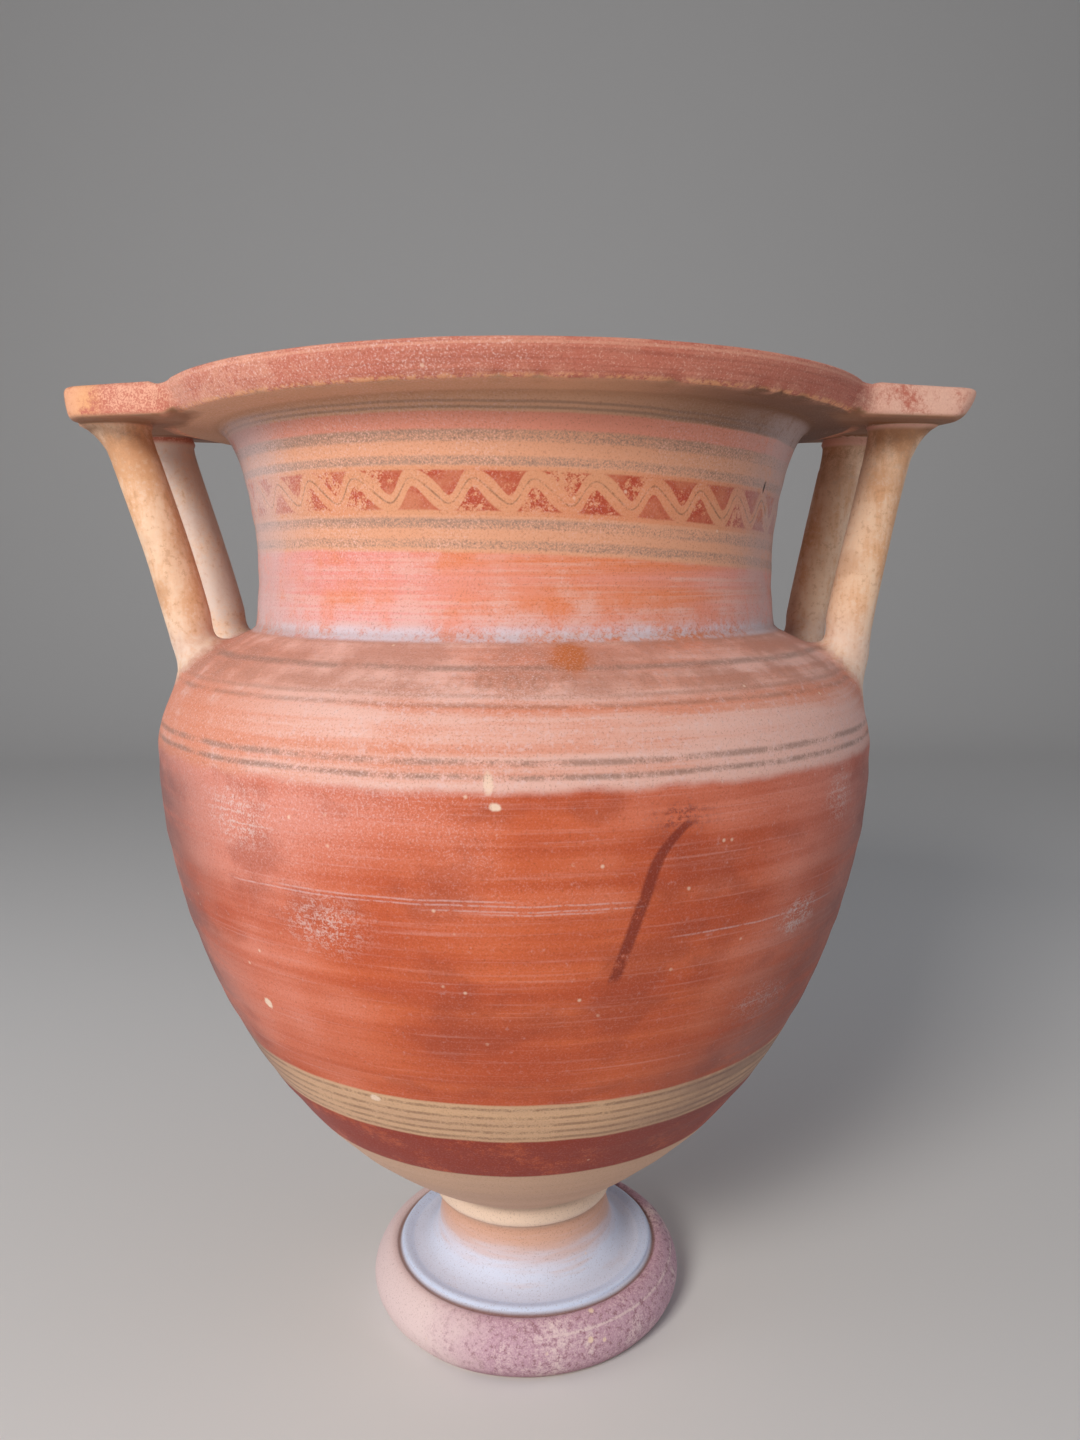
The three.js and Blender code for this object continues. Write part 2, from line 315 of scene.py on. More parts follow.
def plate(shape):
    """Flat plate of a handle, thinning towards the back of the vessel, its edges rounded."""
    facing = math.cos(shape["angle"])
    centre = BOWL_SHIFT * facing
    root_angle = math.asin(ROOT_HALF_WIDTH / PLATE_ROOT_RADIUS)
    root = centre + PLATE_ROOT_RADIUS * math.cos(root_angle)
    outline = plate_outline(centre, root, root_angle)
    middle = np.array([(root + PLATE_END) / 2 + PLATE_MIDDLE_OUTWARD, 0.0])
    low, high = PLATE_TOP - PLATE_THICKNESS, PLATE_TOP
    bend = np.radians(np.linspace(0, 90, 6))
    sides = [(PLATE_EDGE * (1 - math.sin(b)), low + PLATE_EDGE * (1 - math.cos(b))) for b in bend]
    sides += [(0.0, low + PLATE_THICKNESS * k) for k in (0.4, 0.6)]
    sides += [(PLATE_EDGE * (1 - math.cos(b)), high - PLATE_EDGE * (1 - math.sin(b))) for b in bend]
    out = outline - middle
    span = np.linalg.norm(out, axis=1, keepdims=True)
    rings = [(out * k, low) for k in PLATE_RINGS]
    rings += [(out * (1 - gap / span), z) for gap, z in sides]
    rings += [(out * k, high) for k in reversed(PLATE_RINGS)]
    levels = [np.column_stack([flat + middle, np.full(len(flat), z)]) for flat, z in rings]
    verts, faces = lofted(levels, np.array([*middle, low]), np.array([*middle, high]))
    depth = (PLATE_TOP - verts[:, 2]) / PLATE_THICKNESS
    thin = smoothstep(verts[:, 1] * facing, -THINNING_HALF_WIDTH, THINNING_HALF_WIDTH)
    verts[:, 2] += depth * PLATE_THINNING * thin
    near_end = smoothstep(verts[:, 0], PLATE_END - END_SLOPE_LENGTH, PLATE_END)
    verts[:, 0] -= shape["end_slope"] * depth**2 * near_end
    return mesh_object("plate", dip(turned_about_z(verts, shape["angle"])), faces)


def column(shape, side):
    """Column of a handle, leaning outwards from the shoulder and spreading into its plate."""
    under = PLATE_TOP - PLATE_THICKNESS
    bottom, top = COLUMN_FOOT - COLUMN_BURIED, under + PLATE_THICKNESS / 3
    flare_from, flare_to = under - FLARE_HEIGHT, COLUMN_FOOT + FLARE_HEIGHT
    radius = shape["radius"]
    base, head = radius + COLUMN_FOOT_FLARE, radius + COLUMN_TOP_FLARE
    foot_curve = [(base, bottom), (base, COLUMN_FOOT), (radius, COLUMN_FOOT), (radius, flare_to)]
    path = np.concatenate([
        bezier(foot_curve, np.linspace(0, 1, 40)),
        np.linspace((radius, flare_to), (radius, flare_from), 40)[1:],
        quadratic((radius, flare_from), (radius, under), (head, under), 20)[1:],
        np.linspace((head, under), (head, top), 4)[1:],
    ])
    path = even(path, COLUMN_STEP)
    angle = np.linspace(0, TURN, COLUMN_SIDES, endpoint=False)
    levels = []
    for index, (r, z) in enumerate(path):
        wave = 1 + 0.018 * np.sin(2 * angle + 0.05 * z + side) + 0.012 * np.sin(3 * angle - 0.08 * z)
        uneven = PLAIN_FOOT_RINGS < index < len(path) - PLAIN_HEAD_RINGS
        ring_r = r * (wave if uneven else 1)
        level = np.full(COLUMN_SIDES, z)
        levels.append(np.stack([ring_r * np.cos(angle), ring_r * np.sin(angle), level], 1))
    verts, faces = lofted(levels)
    climb = verts[:, 2] - COLUMN_FOOT
    spread = np.clip((verts[:, 2] - flare_from) / FLARE_HEIGHT, 0, 1) ** 2
    outward = np.where(verts[:, 0] > 0, 1 + COLUMN_OUTWARD_FLARE * spread, 1)
    verts[:, 0] = shape["stand"] + shape["lean"] * climb + COLUMN_BOW * climb**2 + verts[:, 0] * outward
    verts[:, 1] += side * COLUMN_SPREAD
    return mesh_object("column", dip(turned_about_z(verts, shape["angle"])), faces)


def joined(base, extras):
    """One skin over the base and the extras, all closed."""
    for extra in extras:
        step = base.modifiers.new("join", "BOOLEAN")
        step.operation, step.solver, step.object = "UNION", "MANIFOLD", extra
        graph = bpy.context.evaluated_depsgraph_get()
        mesh = bpy.data.meshes.new_from_object(base.evaluated_get(graph))
        base.modifiers.clear()
        base.data = mesh
    return base


def tree_of(objects):
    verts, faces = [], []
    for piece in objects:
        start = len(verts)
        verts += [v.co.copy() for v in piece.data.vertices]
        faces += [[start + i for i in p.vertices] for p in piece.data.polygons]
    return BVHTree.FromPolygons(verts, faces)


def distances(tree, verts):
    return np.array([tree.find_nearest(Vector(v))[3] for v in verts]) / MM


def vertex_values(mesh, name):
    """Places or normals of a mesh's vertices, one row each."""
    flat = np.empty(len(mesh.vertices) * 3)
    mesh.vertices.foreach_get(name, flat)
    return flat.reshape(-1, 3)


def move_vertices(mesh, verts):
    mesh.vertices.foreach_set("co", verts.ravel())
    mesh.update()


def edge_ends(mesh):
    flat = np.empty(len(mesh.edges) * 2, int)
    mesh.edges.foreach_get("vertices", flat)
    return flat.reshape(-1, 2)


def neighbour_mean(values, ends):
    count = len(values)
    total = np.zeros((count,) + values.shape[1:])
    number = np.zeros(count)
    for a, b in ((0, 1), (1, 0)):
        np.add.at(total, ends[:, a], values[ends[:, b]])
        np.add.at(number, ends[:, a], 1)
    return total / number.reshape((-1,) + (1,) * (values.ndim - 1))


def store(mesh, name, values):
    layer = mesh.attributes.new(name, "FLOAT", "POINT")
    layer.data.foreach_set("value", np.asarray(values, np.float32))


def uneven_skin(verts, facing, handle):
    """Vertices sunk a little and unevenly, more on the handles, and never outside the solid's box."""
    rough = np.array([noise.fractal(Vector(v * SKIN_SCALE), 1.0, 2.0, 3) for v in verts])
    soft = np.array([noise.noise(Vector(v * HANDLE_SCALE) + HANDLE_NOISE_SHIFT) for v in verts])
    sunk = SKIN_DEPTH * (rough + 1) + HANDLE_DEPTH * handle * (soft + 1)
    return np.clip(verts - facing * MM * sunk[:, None], np.array(cad_low), np.array(cad_high))


def sharpness(verts, facing, ends):
    """How far each vertex stands out from its neighbours, negative in a hollow."""
    sharp = ((verts - neighbour_mean(verts, ends)) * facing).sum(1) / MM
    for _ in range(2):
        sharp = 0.5 * sharp + 0.5 * neighbour_mean(sharp, ends)
    return sharp


def build_krater():
    """The whole vessel as one skin, with the values per vertex that its paint reads."""
    body, rings, inside_from = vessel()
    plates = [plate(shape) for shape in HANDLES]
    columns = [column(shape, side) for shape in HANDLES for side in (-1, 1)]
    body_tree, handle_tree = tree_of([body]), tree_of(plates + columns)
    krater = joined(body, plates + columns)
    for extra in plates + columns:
        bpy.data.objects.remove(extra)
    mesh = krater.data
    verts, ends = vertex_values(mesh, "co"), edge_ends(mesh)
    to_body, to_handle = distances(body_tree, verts), distances(handle_tree, verts)
    reach = np.where(verts[:, 2] / MM < FILLET_BELOW, FILLET_REACH, CREASE_REACH)
    junction = 1 - smoothstep(np.maximum(to_body, to_handle) / reach, 0, 1)
    for _ in range(FILLET_PASSES):
        verts += 0.5 * junction[:, None] * (neighbour_mean(verts, ends) - verts)
    handle = smoothstep(to_body - to_handle, -HANDLE_BLEND, HANDLE_BLEND)
    move_vertices(mesh, verts)
    verts = uneven_skin(verts, vertex_values(mesh, "normal"), handle)
    move_vertices(mesh, verts)
    facing = vertex_values(mesh, "normal")
    sharp = sharpness(verts, facing, ends)
    radius = np.hypot(verts[:, 0] - BOWL_SHIFT * MM, verts[:, 1]) / MM
    height = verts[:, 2] / MM
    inner = rings[inside_from:]
    wall = np.interp(height, inner[::-1, 1], inner[::-1, 0])
    inside = (handle < 0.5) & (height > INSIDE_FLOOR) & (radius < wall + INSIDE_MARGIN)
    store(mesh, "handle", handle)
    store(mesh, "inside", inside.astype(float))
    store(mesh, "edge", np.clip(sharp / SHARP_FULL, 0, 1))
    store(mesh, "crevice", np.clip(-sharp / SHARP_FULL, 0, 1))
    store(mesh, "under", smoothstep(-facing[:, 2], UNDER_FROM, UNDER_FULL))
    for polygon in mesh.polygons:
        polygon.use_smooth = True
    return krater


def linear(red, green, blue):
    """Linear colour, with full alpha, of a colour given in 8-bit display values."""
    parts = [v / 255 for v in (red, green, blue)]
    return tuple(v / 12.92 if v <= 0.04045 else ((v + 0.055) / 1.055) ** 2.4 for v in parts) + (1.0,)


class Painter:
    """Short names for the shader nodes the paint is made of; a value is a number or a socket."""

    def __init__(self, name):
        self.material = bpy.data.materials.new(name)
        self.material.use_nodes = True
        self.nodes = self.material.node_tree.nodes
        self.links = self.material.node_tree.links
        self.shader = self.nodes["Principled BSDF"]

    def put(self, socket, value):
        if isinstance(value, bpy.types.NodeSocket):
            self.links.new(value, socket)
        else:
            socket.default_value = value

    def math(self, operation, *values):
        node = self.nodes.new("ShaderNodeMath")
        node.operation = operation
        for socket, value in zip(node.inputs, values):
            self.put(socket, value)
        return node.outputs[0]

    def add(self, a, b):
        return self.math("ADD", a, b)

    def sub(self, a, b):
        return self.math("SUBTRACT", a, b)

    def mul(self, a, b):
        return self.math("MULTIPLY", a, b)

    def size(self, value):
        return self.math("ABSOLUTE", value)

    def both(self, *masks):
        total = masks[0]
        for mask in masks[1:]:
            total = self.mul(total, mask)
        return total

    def blend(self, *shares):
        """Sum of values, each given with its share."""
        total = self.mul(*shares[0])
        for value, share in shares[1:]:
            total = self.add(total, self.mul(value, share))
        return total

    def length(self, *parts):
        total = self.mul(parts[0], parts[0])
        for part in parts[1:]:
            total = self.add(total, self.mul(part, part))
        return self.math("SQRT", total)

    def ramp(self, value, low, high, start, end):
        node = self.nodes.new("ShaderNodeMapRange")
        node.interpolation_type = "SMOOTHSTEP"
        for socket, part in zip(node.inputs, (value, low, high, start, end)):
            self.put(socket, part)
        return node.outputs[0]

    def rise(self, value, low, high):
        return self.ramp(value, low, high, 0.0, 1.0)

    def fall(self, value, low, high):
        return self.ramp(value, low, high, 1.0, 0.0)

    def below(self, value, edge, soft):
        return self.fall(value, edge - soft, edge + soft)

    def above(self, value, edge, soft):
        return self.rise(value, edge - soft, edge + soft)

    def band(self, value, low, high, soft):
        return self.mul(self.above(value, low, soft), self.below(value, high, soft))

    def line(self, value, centre, half, soft):
        gap = self.size(self.sub(value, centre))
        return self.fall(gap, max(half - soft, 0.0), half + soft)

    def grain(self, vector, scale, detail=3.0, rough=0.55):
        node = self.nodes.new("ShaderNodeTexNoise")
        self.put(node.inputs["Vector"], vector)
        self.put(node.inputs["Scale"], scale)
        self.put(node.inputs["Detail"], detail)
        self.put(node.inputs["Roughness"], rough)
        return node.outputs["Fac"]

    def stretched(self, vector, across, up, shift=0.0):
        node = self.nodes.new("ShaderNodeMapping")
        self.put(node.inputs["Vector"], vector)
        self.put(node.inputs["Scale"], (across, across, up))
        self.put(node.inputs["Location"], (shift, shift, shift))
        return node.outputs[0]

    def mix(self, amount, under, over):
        node = self.nodes.new("ShaderNodeMix")
        node.data_type = "RGBA"
        self.put(node.inputs["Factor"], amount)
        self.put(node.inputs[6], under)
        self.put(node.inputs[7], over)
        return node.outputs[2]

    def lay(self, under, over, strength, *masks):
        """One colour laid thinly over another where all the masks hold."""
        return self.mix(self.mul(self.both(*masks), strength), under, over)

    def attribute(self, name):
        node = self.nodes.new("ShaderNodeAttribute")
        node.attribute_name = name
        return node.outputs["Fac"]

    def spots(self, vector, scale, size, soft):
        """Small round specks, one in each cell of a grid that is strewn at random."""
        node = self.nodes.new("ShaderNodeTexVoronoi")
        self.put(node.inputs["Vector"], vector)
        self.put(node.inputs["Scale"], scale)
        return self.below(node.outputs["Distance"], size, soft)


class ClayPainter(Painter):
    """Painter that knows where on the vessel a point lies and how the surface is worn there. Grains run
    from about 0.3 to 0.7, and two numbers after one say where it starts to show and where it shows fully."""

    def __init__(self, name):
        super().__init__(name)
        self.place = self.nodes.new("ShaderNodeTexCoord").outputs["Object"]
        split = self.nodes.new("ShaderNodeSeparateXYZ")
        self.put(split.inputs[0], self.place)
        self.x, self.y, self.z = (self.mul(part, 1 / MM) for part in split.outputs[:3])
        self.off = self.sub(self.x, BOWL_SHIFT)
        self.angle = self.math("ARCTAN2", self.off, self.mul(self.y, -1.0))
        self.degrees = self.mul(self.angle, DEGREES)
        self.radius = self.length(self.off, self.y)
        self.broad = self.grain(self.place, 14.0, 2.0)
        self.middle = self.grain(self.place, 55.0, 4.0, 0.6)
        self.fine = self.grain(self.place, 420.0, 4.0, 0.7)
        self.dust = self.grain(self.place, 1400.0, 2.0, 0.7)
        self.streak = self.grain(self.stretched(self.place, 5.0, 150.0), 1.0, 4.0, 0.6)
        self.hair = self.grain(self.stretched(self.place, 16.0, 800.0, 3.0), 1.0, 3.0, 0.6)
        self.worn = self.blend((self.middle, 0.5), (self.fine, 0.35), (self.dust, 0.15))
        patchy = self.blend((self.middle, 0.45), (self.fine, 0.3), (self.dust, 0.25))
        self.remaining = self.fall(patchy, 0.44, 0.62)
        sway = self.grain(self.stretched(self.place, 30.0, 8.0, 5.0), 1.0, 2.0)
        self.level = self.add(self.z, self.mul(self.sub(sway, 0.5), BRUSH_SWAY))


# Colours
CLAY = linear(242, 204, 172)
CLAY_BROWN = linear(180, 126, 88)
CLAY_PALE = linear(242, 214, 190)
CLAY_ORANGE = linear(222, 164, 118)
CLAY_CHALK = linear(226, 210, 202)
INSIDE_CLAY = linear(196, 128, 96)
BELLY_RED = linear(214, 106, 62)
BELLY_DEEP = linear(188, 82, 46)
BELLY_DARK = linear(148, 62, 42)
BELLY_PINK = linear(222, 160, 150)
HAZE = linear(226, 198, 198)
# Painted shade at the sides of the belly
SIDE_SHADE = linear(112, 84, 82)
DARK_SPECK = linear(120, 66, 48)
SHOULDER_BROWN = linear(184, 128, 108)
SHOULDER_PEACH = linear(228, 180, 166)
SHOULDER_RED = linear(216, 136, 106)
LINE_GREY = linear(128, 104, 92)
LINE_BROWN = linear(128, 92, 66)
CREAM = linear(220, 178, 140)
DARK_RED = linear(150, 54, 34)
TAN = linear(196, 156, 128)
CHALK = linear(224, 232, 252)
CHALK_PINK = linear(222, 196, 190)
STEM_ORANGE = linear(222, 172, 146)
LIP_BLUE = linear(208, 222, 248)
TORUS_RED = linear(200, 160, 176)
TORUS_CREAM = linear(232, 208, 206)
TORUS_DARK = linear(128, 74, 80)
# Painted shade in the groove of the foot
GROOVE_SHADE = linear(120, 84, 74)
RIM_RED = linear(194, 112, 92)
RIM_WORN = linear(228, 168, 142)
RIM_DEEP = linear(160, 82, 66)
RIM_CHIP = linear(232, 170, 118)
UNDER_RIM = linear(198, 150, 114)
# Painted shadow of the rim on the right
RIM_SHADOW_RIGHT = linear(84, 50, 32)
# Painted shade under the plates and in creases
SHADE_BROWN = linear(130, 88, 60)
PLATE_PALE = linear(240, 196, 176)
OLIVE = linear(216, 178, 146)
# Painted sheen at the sides of the neck
NECK_SIDE_SHEEN = linear(200, 184, 184)
NECK_BLUSH = linear(228, 142, 138)
NECK_PINK = linear(226, 148, 124)
NECK_GAP = linear(222, 160, 126)
NECK_RED = linear(230, 150, 132)
NECK_ORANGE = linear(224, 130, 88)
GREY_BAND = linear(146, 126, 114)
FRIEZE_RED = linear(180, 66, 40)
FRIEZE_TAN = linear(218, 154, 116)
STROKE = linear(128, 44, 26)
STAIN = linear(190, 104, 44)
# Painted shade of a small pit
PIT_SHADE = linear(20, 16, 14)

# Heights of the painted zones and lines, and how far the brush strayed
BRUSH_SWAY = 1.6
BRUSH_EDGE = 0.6
BARE_CLAY_TOP = 111.2
DARK_RED_TOP = 134.9
LINED_ZONE_TOP = 154.9
LOW_LINES = (152.6, 148.2, 144.2, 140.4, 136.8)
SHOULDER_EDGE, SHOULDER_EDGE_SOFT, SHOULDER_EDGE_SWAY = 275.3, 2.1, 5.0
SHOULDER_WASH = (304.0, 322.0)
NECK_FOOT, NECK_FOOT_SOFT = 320.25, 0.75
NECK_CHALK = (318.5, 325.0)
NECK_BANDS_FROM, NECK_BANDS_SOFT = 350.8, 0.8
GREY_BANDS = ((388.5, 392.2), (380.6, 383.6), (359.0, 362.5), (352.2, 355.3))
NECK_PINK_BAND = (392.2, 398.0)
OLIVE_FROM = 398.0
OLIVE_LINES = (399.2, 401.0)

# Thin lines of the shoulder: height, half width, strength
SHOULDER_LINES = [
    (284.4, 1.0, 0.6), (279.8, 0.9, 0.65), (312.6, 0.8, 0.6), (301.5, 0.6, 0.4), (304.5, 0.5, 0.3),
]

# Faded row of small rings under the neck
SMALL_RINGS = 92
SMALL_RING_RADIUS, SMALL_RING_LEVEL, SMALL_RING_ROW_RADIUS = 2.4, 308.3, 139.0
SMALL_RING_FLATNESS = 1.2

# Frieze of the neck: red infill above and below a wavy line
FRIEZE = (363.6, 380.2)
WAVES = 33
WAVE_AT = math.radians(1.9)
WAVE_LEAN = 0.31
WAVE_UNEVENNESS = 1.4
WAVE_LEVEL, WAVE_HEIGHT, NECK_RADIUS = 372.0, 4.3, 115.0
INFILL_BOTTOM, INFILL_TOP, INFILL_SOFT = 365.3, 378.9, 0.5
RIBBON_HALF, RIBBON_SOFT = 2.85, 0.35

# Foot
FOOT_STEM_TOP, BEAD_TOP = (50.0, 54.0), (61.0, 66.0)
DISH_TOP, DISH_TOP_SOFT = 28.0, 0.4
TORUS_INNER, TORUS_INNER_SOFT = 61.35, 0.45
TORUS_GROOVE = 61.6
TORUS_SCRATCH = 20.6
LIP_RING = (54.5, 60.6)

# Stroke of dark paint on the belly: angle at its foot in degrees, lean and hook
STROKE_ANGLE, STROKE_FOOT = 11.3, 206.0
STROKE_LEAN, STROKE_HOOK_FROM, STROKE_HOOK = 0.107, 247.0, 0.011
STROKE_ENDS, STROKE_HALF = (207.0, 263.0), 2.2
MM_PER_DEGREE = 2.65

# Other marks of the front: angle in degrees, height, half width, half height, softness, colour, strength
FRONT_MARKS = [
    (7.1, 315.9, 6.5, 4.6, 0.5, STAIN, 0.85),
    (-3.9, 270.1, 1.9, 1.4, 0.3, CLAY_PALE, 0.9),
    (-4.7, 278.4, 1.6, 3.2, 0.4, CLAY_PALE, 0.7),
    (-42.5, 185.6, 2.2, 2.0, 0.3, CLAY_PALE, 0.95),
    (-26.0, 152.1, 2.0, 1.6, 0.3, CLAY_PALE, 0.95),
    (19.2, 264.5, 11.0, 5.0, 0.7, STROKE, 0.8),
    (42.8, 218.7, 10.0, 6.0, 0.6, CHALK_PINK, 0.9),
    (50.0, 262.0, 9.0, 9.0, 0.8, CHALK_PINK, 0.6),
    (40.0, 186.0, 14.0, 6.0, 0.8, CHALK_PINK, 0.5),
    (-40.5, 260.5, 14.0, 9.0, 0.8, CHALK_PINK, 0.7),
    (-27.0, 226.0, 13.0, 9.0, 0.8, CHALK_PINK, 0.6),
    # Painted shade of a small pit in the neck
    (56.1, 377.3, 0.8, 2.0, 0.3, PIT_SHADE, 0.9),
]
SCUFF_SOFTNESS = 0.5
MARK_RAGGED = 1.2

# Pale dots on the foot: place and radius
FOOT_DOTS = [(25.7, -67.6, 16.9, 1.3), (32.0, -65.8, 15.3, 1.0), (26.4, -59.6, 25.1, 1.2)]

# Scratches round the belly: height, left end and right end in degrees
SCRATCHES = [
    (238.4, -34.0, -2.0), (236.9, -42.0, 12.0), (234.9, -12.0, 14.0), (233.8, -6.0, 9.0), (222.0, 20.0, 52.0),
]

# Painted shade at the sides of the belly, in degrees from the front, reaching further round lower down
SIDE_SHADE_LEFT, SIDE_SHADE_RIGHT = (-66.0, -40.0), (28.0, 60.0)
SIDE_SHADE_BELOW, SIDE_SHADE_WIDENING = 220.0, 0.3
SIDE_SHADE_RIGHT_SHARE = 0.8


def belly(p):
    """Worn red, streaked by the brush, with pink dust towards the top and a painted pink sheen towards the
    sides.
    """
    brushed = p.blend((p.streak, 0.45), (p.broad, 0.55))
    colour = p.mix(p.rise(brushed, 0.36, 0.62), BELLY_DEEP, BELLY_RED)
    upper = p.rise(p.z, 200.0, 275.0)
    # Pink dust in streaks, more towards the top, and painted sheen that pales the red towards both sides
    dust_and_side_sheen = p.blend((p.broad, 0.5), (p.streak, 0.25), (p.size(p.off), 0.0014), (upper, 0.08))
    colour = p.lay(colour, BELLY_PINK, 0.55, p.rise(dust_and_side_sheen, 0.42, 0.7))
    smudge = p.grain(p.stretched(p.place, 24.0, 36.0, 11.0), 1.0, 3.0, 0.6)
    colour = p.lay(colour, BELLY_DARK, 0.4, p.fall(smudge, 0.34, 0.5))
    colour = p.lay(colour, BELLY_PINK, 0.3, p.rise(p.hair, 0.54, 0.75))
    return p.lay(colour, HAZE, 0.2, p.rise(p.fine, 0.58, 0.74))


def shoulder(p, colour):
    """Faded peach with thin grey lines, a brown wash and a faint row of small rings."""
    faded = p.blend((p.streak, 0.6), (p.broad, 0.4))
    peach = p.mix(p.rise(faded, 0.42, 0.62), SHOULDER_PEACH, SHOULDER_RED)
    peach = p.lay(peach, HAZE, 0.4, p.rise(p.fine, 0.5, 0.7))
    peach = p.lay(peach, SHOULDER_RED, 0.85, p.fall(p.off, -125.0, -60.0), p.rise(p.middle, 0.3, 0.5))
    edge = p.add(p.level, p.mul(p.sub(p.middle, 0.5), SHOULDER_EDGE_SWAY))
    colour = p.mix(p.above(edge, SHOULDER_EDGE, SHOULDER_EDGE_SOFT), colour, peach)
    patchy = p.rise(p.blend((p.middle, 0.6), (p.streak, 0.4)), 0.38, 0.58)
    colour = p.lay(colour, SHOULDER_BROWN, 0.75, p.band(p.level, *SHOULDER_WASH, 2.5), patchy)
    for centre, half, strength in SHOULDER_LINES:
        colour = p.lay(colour, LINE_GREY, strength, p.line(p.level, centre, half, 0.7), p.remaining)
    cell = p.sub(p.math("FRACT", p.mul(p.angle, SMALL_RINGS / TURN)), 0.5)
    across = p.mul(cell, TURN / SMALL_RINGS * SMALL_RING_ROW_RADIUS)
    up = p.mul(p.sub(p.level, SMALL_RING_LEVEL), SMALL_RING_FLATNESS)
    ring = p.line(p.length(across, up), SMALL_RING_RADIUS, 0.7, 0.6)
    return p.lay(colour, LINE_BROWN, 0.2, ring, p.rise(p.broad, 0.46, 0.6))


def low_zones(p, colour):
    """Zone of thin lines, dark red band and bare clay low on the belly."""
    lined = p.lay(CREAM, TAN, 0.4, p.rise(p.streak, 0.4, 0.6))
    for centre in LOW_LINES:
        lined = p.lay(lined, LINE_BROWN, 0.6, p.line(p.level, centre, 0.7, 0.4), p.remaining)
    colour = p.mix(p.below(p.level, LINED_ZONE_TOP, BRUSH_EDGE), colour, lined)
    dark = p.lay(DARK_RED, BELLY_RED, 0.5, p.rise(p.worn, 0.48, 0.62))
    colour = p.mix(p.below(p.level, DARK_RED_TOP, BRUSH_EDGE), colour, dark)
    bare = p.lay(TAN, CLAY, 0.5, p.streak)
    return p.mix(p.below(p.level, BARE_CLAY_TOP, BRUSH_EDGE), colour, bare)


def foot(p, colour):
    """Pale bead, chalky stem and dish, a ring that kept its red from the front to the right, and painted
    shade in its groove.
    """
    colour = p.mix(p.fall(p.z, *BEAD_TOP), colour, CLAY_PALE)
    reach = p.length(p.x, p.y)
    brushed = p.grain(p.stretched(p.place, 26.0, 260.0, 9.0), 1.0, 4.0, 0.6)
    stem = p.mix(p.fall(p.add(p.z, p.mul(brushed, 16.0)), 36.0, 56.0), STEM_ORANGE, CHALK)
    stem = p.lay(stem, CHALK_PINK, 0.3, p.rise(brushed, 0.52, 0.7))
    stem = p.lay(stem, LIP_BLUE, 0.7, p.band(reach, *LIP_RING, 0.8), p.rise(p.z, 25.0, 25.8))
    colour = p.mix(p.fall(p.z, *FOOT_STEM_TOP), colour, stem)
    low = p.below(p.z, DISH_TOP, DISH_TOP_SOFT)
    red = p.rise(p.add(p.off, p.mul(p.sub(p.middle, 0.5), 50.0)), -44.0, -14.0)
    torus = p.mix(p.both(red, p.fall(p.worn, 0.5, 0.64)), TORUS_CREAM, TORUS_RED)
    torus = p.lay(torus, TORUS_DARK, 0.55, red, p.fall(p.fine, 0.36, 0.5))
    torus = p.lay(torus, TORUS_CREAM, 0.5, red, p.rise(p.dust, 0.52, 0.66))
    scratch = p.both(p.line(p.z, TORUS_SCRATCH, 0.4, 0.3), p.rise(p.off, 0.0, 20.0))
    torus = p.lay(torus, TORUS_CREAM, 0.8, scratch, p.rise(p.fine, 0.36, 0.5))
    torus = p.lay(torus, TORUS_DARK, 0.5, red, p.fall(p.z, 2.0, 7.0))
    colour = p.mix(p.mul(p.above(reach, TORUS_INNER, TORUS_INNER_SOFT), low), colour, torus)
    # Painted shade along the groove between the ring and the dish
    return p.lay(colour, GROOVE_SHADE, 0.75, p.line(reach, TORUS_GROOVE, 0.9, 0.6), low)


def frieze(p, rung):
    """Red infill above and below a tan ribbon that waves round the neck, a thin line along its middle."""
    colour = p.lay(FRIEZE_TAN, NECK_ORANGE, 0.45, p.rise(p.broad, 0.4, 0.65))
    phase = p.sub(p.mul(p.sub(p.angle, WAVE_AT), float(WAVES)), WAVE_LEAN)
    phase = p.add(phase, p.mul(p.sub(p.grain(p.place, 22.0, 1.0), 0.5), WAVE_UNEVENNESS))
    leaning = p.add(phase, p.mul(p.math("COSINE", phase), WAVE_LEAN))
    wave = p.add(WAVE_LEVEL, p.mul(p.math("COSINE", leaning), WAVE_HEIGHT))
    steepness = p.mul(p.math("SINE", leaning), WAVE_HEIGHT * WAVES / NECK_RADIUS)
    gap = p.math("DIVIDE", p.sub(rung, wave), p.length(1.0, steepness))
    over = p.both(p.above(gap, RIBBON_HALF, RIBBON_SOFT), p.below(rung, INFILL_TOP, INFILL_SOFT))
    beneath = p.both(p.below(gap, -RIBBON_HALF, RIBBON_SOFT), p.above(rung, INFILL_BOTTOM, INFILL_SOFT))
    kept = p.fall(p.add(p.worn, p.mul(p.fall(p.off, -95.0, -25.0), 0.05)), 0.52, 0.6)
    thickness = p.add(0.5, p.mul(p.rise(p.middle, 0.38, 0.6), 0.45))
    colour = p.mix(p.both(p.add(over, beneath), kept, thickness), colour, FRIEZE_RED)
    return p.lay(colour, LINE_BROWN, 0.7, p.line(gap, 0.0, 0.3, 0.25), p.remaining)


